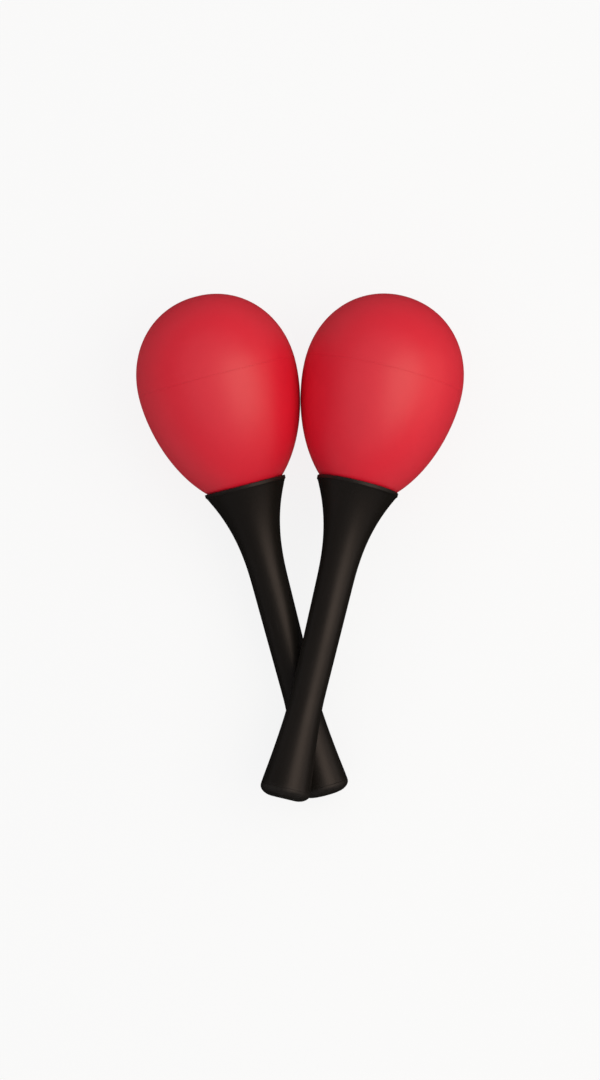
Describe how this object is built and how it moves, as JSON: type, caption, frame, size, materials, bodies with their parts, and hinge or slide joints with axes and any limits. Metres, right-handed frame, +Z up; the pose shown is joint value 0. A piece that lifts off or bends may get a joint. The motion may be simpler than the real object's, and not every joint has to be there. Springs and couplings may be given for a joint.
{
  "type": "egg shaker",
  "caption": "Crossed pair of handled egg shakers: hollow two-part plastic eggs with loose steel shot, each seated in the collar of a hollow trumpet handle with a foot cap.",
  "frame": {"origin": "centre of the pair's bounding box in plan, on the surface that the pair lies on", "axes": "+Y towards the eggs, -Y towards the feet, +X towards the right shaker's egg, +Z up"},
  "size_m": [0.0928, 0.1442, 0.0457],
  "materials": {
    "egg_plastic": "satin",
    "handle_plastic": "satin",
    "shot_steel": "polished"
  },
  "bodies": {
    "left_shaker": {"left_dome_shell": "egg_plastic", "left_cup_shell": "egg_plastic", "left_handle": "handle_plastic", "left_foot_cap": "handle_plastic"},
    "right_shaker": {"right_dome_shell": "egg_plastic", "right_cup_shell": "egg_plastic", "right_handle": "handle_plastic", "right_foot_cap": "handle_plastic"},
    "left_pellet_01": {"left_pellet_01": "shot_steel"},
    "left_pellet_02": {"left_pellet_02": "shot_steel"},
    "left_pellet_03": {"left_pellet_03": "shot_steel"},
    "left_pellet_04": {"left_pellet_04": "shot_steel"},
    "left_pellet_05": {"left_pellet_05": "shot_steel"},
    "left_pellet_06": {"left_pellet_06": "shot_steel"},
    "left_pellet_07": {"left_pellet_07": "shot_steel"},
    "left_pellet_08": {"left_pellet_08": "shot_steel"},
    "left_pellet_09": {"left_pellet_09": "shot_steel"},
    "left_pellet_10": {"left_pellet_10": "shot_steel"},
    "left_pellet_11": {"left_pellet_11": "shot_steel"},
    "left_pellet_12": {"left_pellet_12": "shot_steel"},
    "left_pellet_13": {"left_pellet_13": "shot_steel"},
    "left_pellet_14": {"left_pellet_14": "shot_steel"},
    "left_pellet_15": {"left_pellet_15": "shot_steel"},
    "left_pellet_16": {"left_pellet_16": "shot_steel"},
    "left_pellet_17": {"left_pellet_17": "shot_steel"},
    "left_pellet_18": {"left_pellet_18": "shot_steel"},
    "left_pellet_19": {"left_pellet_19": "shot_steel"},
    "right_pellet_01": {"right_pellet_01": "shot_steel"},
    "right_pellet_02": {"right_pellet_02": "shot_steel"},
    "right_pellet_03": {"right_pellet_03": "shot_steel"},
    "right_pellet_04": {"right_pellet_04": "shot_steel"},
    "right_pellet_05": {"right_pellet_05": "shot_steel"},
    "right_pellet_06": {"right_pellet_06": "shot_steel"},
    "right_pellet_07": {"right_pellet_07": "shot_steel"},
    "right_pellet_08": {"right_pellet_08": "shot_steel"},
    "right_pellet_09": {"right_pellet_09": "shot_steel"},
    "right_pellet_10": {"right_pellet_10": "shot_steel"},
    "right_pellet_11": {"right_pellet_11": "shot_steel"},
    "right_pellet_12": {"right_pellet_12": "shot_steel"},
    "right_pellet_13": {"right_pellet_13": "shot_steel"},
    "right_pellet_14": {"right_pellet_14": "shot_steel"},
    "right_pellet_15": {"right_pellet_15": "shot_steel"},
    "right_pellet_16": {"right_pellet_16": "shot_steel"},
    "right_pellet_17": {"right_pellet_17": "shot_steel"},
    "right_pellet_18": {"right_pellet_18": "shot_steel"},
    "right_pellet_19": {"right_pellet_19": "shot_steel"}
  },
  "joints": [
    {"name": "lift_right_shaker", "type": "slide", "parent": "left_shaker", "child": "right_shaker", "axis": [0, 0, 1], "range_m": [0, 0.1]},
    {"name": "pellet_left_01", "type": "slide", "parent": "left_shaker", "child": "left_pellet_01", "axis": [0, 0, 1], "range_m": [0, 0.0281]},
    {"name": "pellet_left_02", "type": "slide", "parent": "left_shaker", "child": "left_pellet_02", "axis": [0, 0, 1], "range_m": [0, 0.03]},
    {"name": "pellet_left_03", "type": "slide", "parent": "left_shaker", "child": "left_pellet_03", "axis": [0, 0, 1], "range_m": [0, 0.0299]},
    {"name": "pellet_left_04", "type": "slide", "parent": "left_shaker", "child": "left_pellet_04", "axis": [0, 0, 1], "range_m": [0, 0.0312]},
    {"name": "pellet_left_05", "type": "slide", "parent": "left_shaker", "child": "left_pellet_05", "axis": [0, 0, 1], "range_m": [0, 0.0336]},
    {"name": "pellet_left_06", "type": "slide", "parent": "left_shaker", "child": "left_pellet_06", "axis": [0, 0, 1], "range_m": [0, 0.0344]},
    {"name": "pellet_left_07", "type": "slide", "parent": "left_shaker", "child": "left_pellet_07", "axis": [0, 0, 1], "range_m": [0, 0.0332]},
    {"name": "pellet_left_08", "type": "slide", "parent": "left_shaker", "child": "left_pellet_08", "axis": [0, 0, 1], "range_m": [0, 0.031]},
    {"name": "pellet_left_09", "type": "slide", "parent": "left_shaker", "child": "left_pellet_09", "axis": [0, 0, 1], "range_m": [0, 0.0339]},
    {"name": "pellet_left_10", "type": "slide", "parent": "left_shaker", "child": "left_pellet_10", "axis": [0, 0, 1], "range_m": [0, 0.0355]},
    {"name": "pellet_left_11", "type": "slide", "parent": "left_shaker", "child": "left_pellet_11", "axis": [0, 0, 1], "range_m": [0, 0.0354]},
    {"name": "pellet_left_12", "type": "slide", "parent": "left_shaker", "child": "left_pellet_12", "axis": [0, 0, 1], "range_m": [0, 0.0328]},
    {"name": "pellet_left_13", "type": "slide", "parent": "left_shaker", "child": "left_pellet_13", "axis": [0, 0, 1], "range_m": [0, 0.0312]},
    {"name": "pellet_left_14", "type": "slide", "parent": "left_shaker", "child": "left_pellet_14", "axis": [0, 0, 1], "range_m": [0, 0.0336]},
    {"name": "pellet_left_15", "type": "slide", "parent": "left_shaker", "child": "left_pellet_15", "axis": [0, 0, 1], "range_m": [0, 0.0344]},
    {"name": "pellet_left_16", "type": "slide", "parent": "left_shaker", "child": "left_pellet_16", "axis": [0, 0, 1], "range_m": [0, 0.0332]},
    {"name": "pellet_left_17", "type": "slide", "parent": "left_shaker", "child": "left_pellet_17", "axis": [0, 0, 1], "range_m": [0, 0.0281]},
    {"name": "pellet_left_18", "type": "slide", "parent": "left_shaker", "child": "left_pellet_18", "axis": [0, 0, 1], "range_m": [0, 0.03]},
    {"name": "pellet_left_19", "type": "slide", "parent": "left_shaker", "child": "left_pellet_19", "axis": [0, 0, 1], "range_m": [0, 0.0299]},
    {"name": "pellet_right_01", "type": "slide", "parent": "right_shaker", "child": "right_pellet_01", "axis": [0, 0, 1], "range_m": [0, 0.0291]},
    {"name": "pellet_right_02", "type": "slide", "parent": "right_shaker", "child": "right_pellet_02", "axis": [0, 0, 1], "range_m": [0, 0.0301]},
    {"name": "pellet_right_03", "type": "slide", "parent": "right_shaker", "child": "right_pellet_03", "axis": [0, 0, 1], "range_m": [0, 0.0288]},
    {"name": "pellet_right_04", "type": "slide", "parent": "right_shaker", "child": "right_pellet_04", "axis": [0, 0, 1], "range_m": [0, 0.0324]},
    {"name": "pellet_right_05", "type": "slide", "parent": "right_shaker", "child": "right_pellet_05", "axis": [0, 0, 1], "range_m": [0, 0.034]},
    {"name": "pellet_right_06", "type": "slide", "parent": "right_shaker", "child": "right_pellet_06", "axis": [0, 0, 1], "range_m": [0, 0.034]},
    {"name": "pellet_right_07", "type": "slide", "parent": "right_shaker", "child": "right_pellet_07", "axis": [0, 0, 1], "range_m": [0, 0.0315]},
    {"name": "pellet_right_08", "type": "slide", "parent": "right_shaker", "child": "right_pellet_08", "axis": [0, 0, 1], "range_m": [0, 0.0325]},
    {"name": "pellet_right_09", "type": "slide", "parent": "right_shaker", "child": "right_pellet_09", "axis": [0, 0, 1], "range_m": [0, 0.0347]},
    {"name": "pellet_right_10", "type": "slide", "parent": "right_shaker", "child": "right_pellet_10", "axis": [0, 0, 1], "range_m": [0, 0.0356]},
    {"name": "pellet_right_11", "type": "slide", "parent": "right_shaker", "child": "right_pellet_11", "axis": [0, 0, 1], "range_m": [0, 0.0345]},
    {"name": "pellet_right_12", "type": "slide", "parent": "right_shaker", "child": "right_pellet_12", "axis": [0, 0, 1], "range_m": [0, 0.0303]},
    {"name": "pellet_right_13", "type": "slide", "parent": "right_shaker", "child": "right_pellet_13", "axis": [0, 0, 1], "range_m": [0, 0.0324]},
    {"name": "pellet_right_14", "type": "slide", "parent": "right_shaker", "child": "right_pellet_14", "axis": [0, 0, 1], "range_m": [0, 0.034]},
    {"name": "pellet_right_15", "type": "slide", "parent": "right_shaker", "child": "right_pellet_15", "axis": [0, 0, 1], "range_m": [0, 0.034]},
    {"name": "pellet_right_16", "type": "slide", "parent": "right_shaker", "child": "right_pellet_16", "axis": [0, 0, 1], "range_m": [0, 0.0315]},
    {"name": "pellet_right_17", "type": "slide", "parent": "right_shaker", "child": "right_pellet_17", "axis": [0, 0, 1], "range_m": [0, 0.0291]},
    {"name": "pellet_right_18", "type": "slide", "parent": "right_shaker", "child": "right_pellet_18", "axis": [0, 0, 1], "range_m": [0, 0.0301]},
    {"name": "pellet_right_19", "type": "slide", "parent": "right_shaker", "child": "right_pellet_19", "axis": [0, 0, 1], "range_m": [0, 0.0288]}
  ]
}
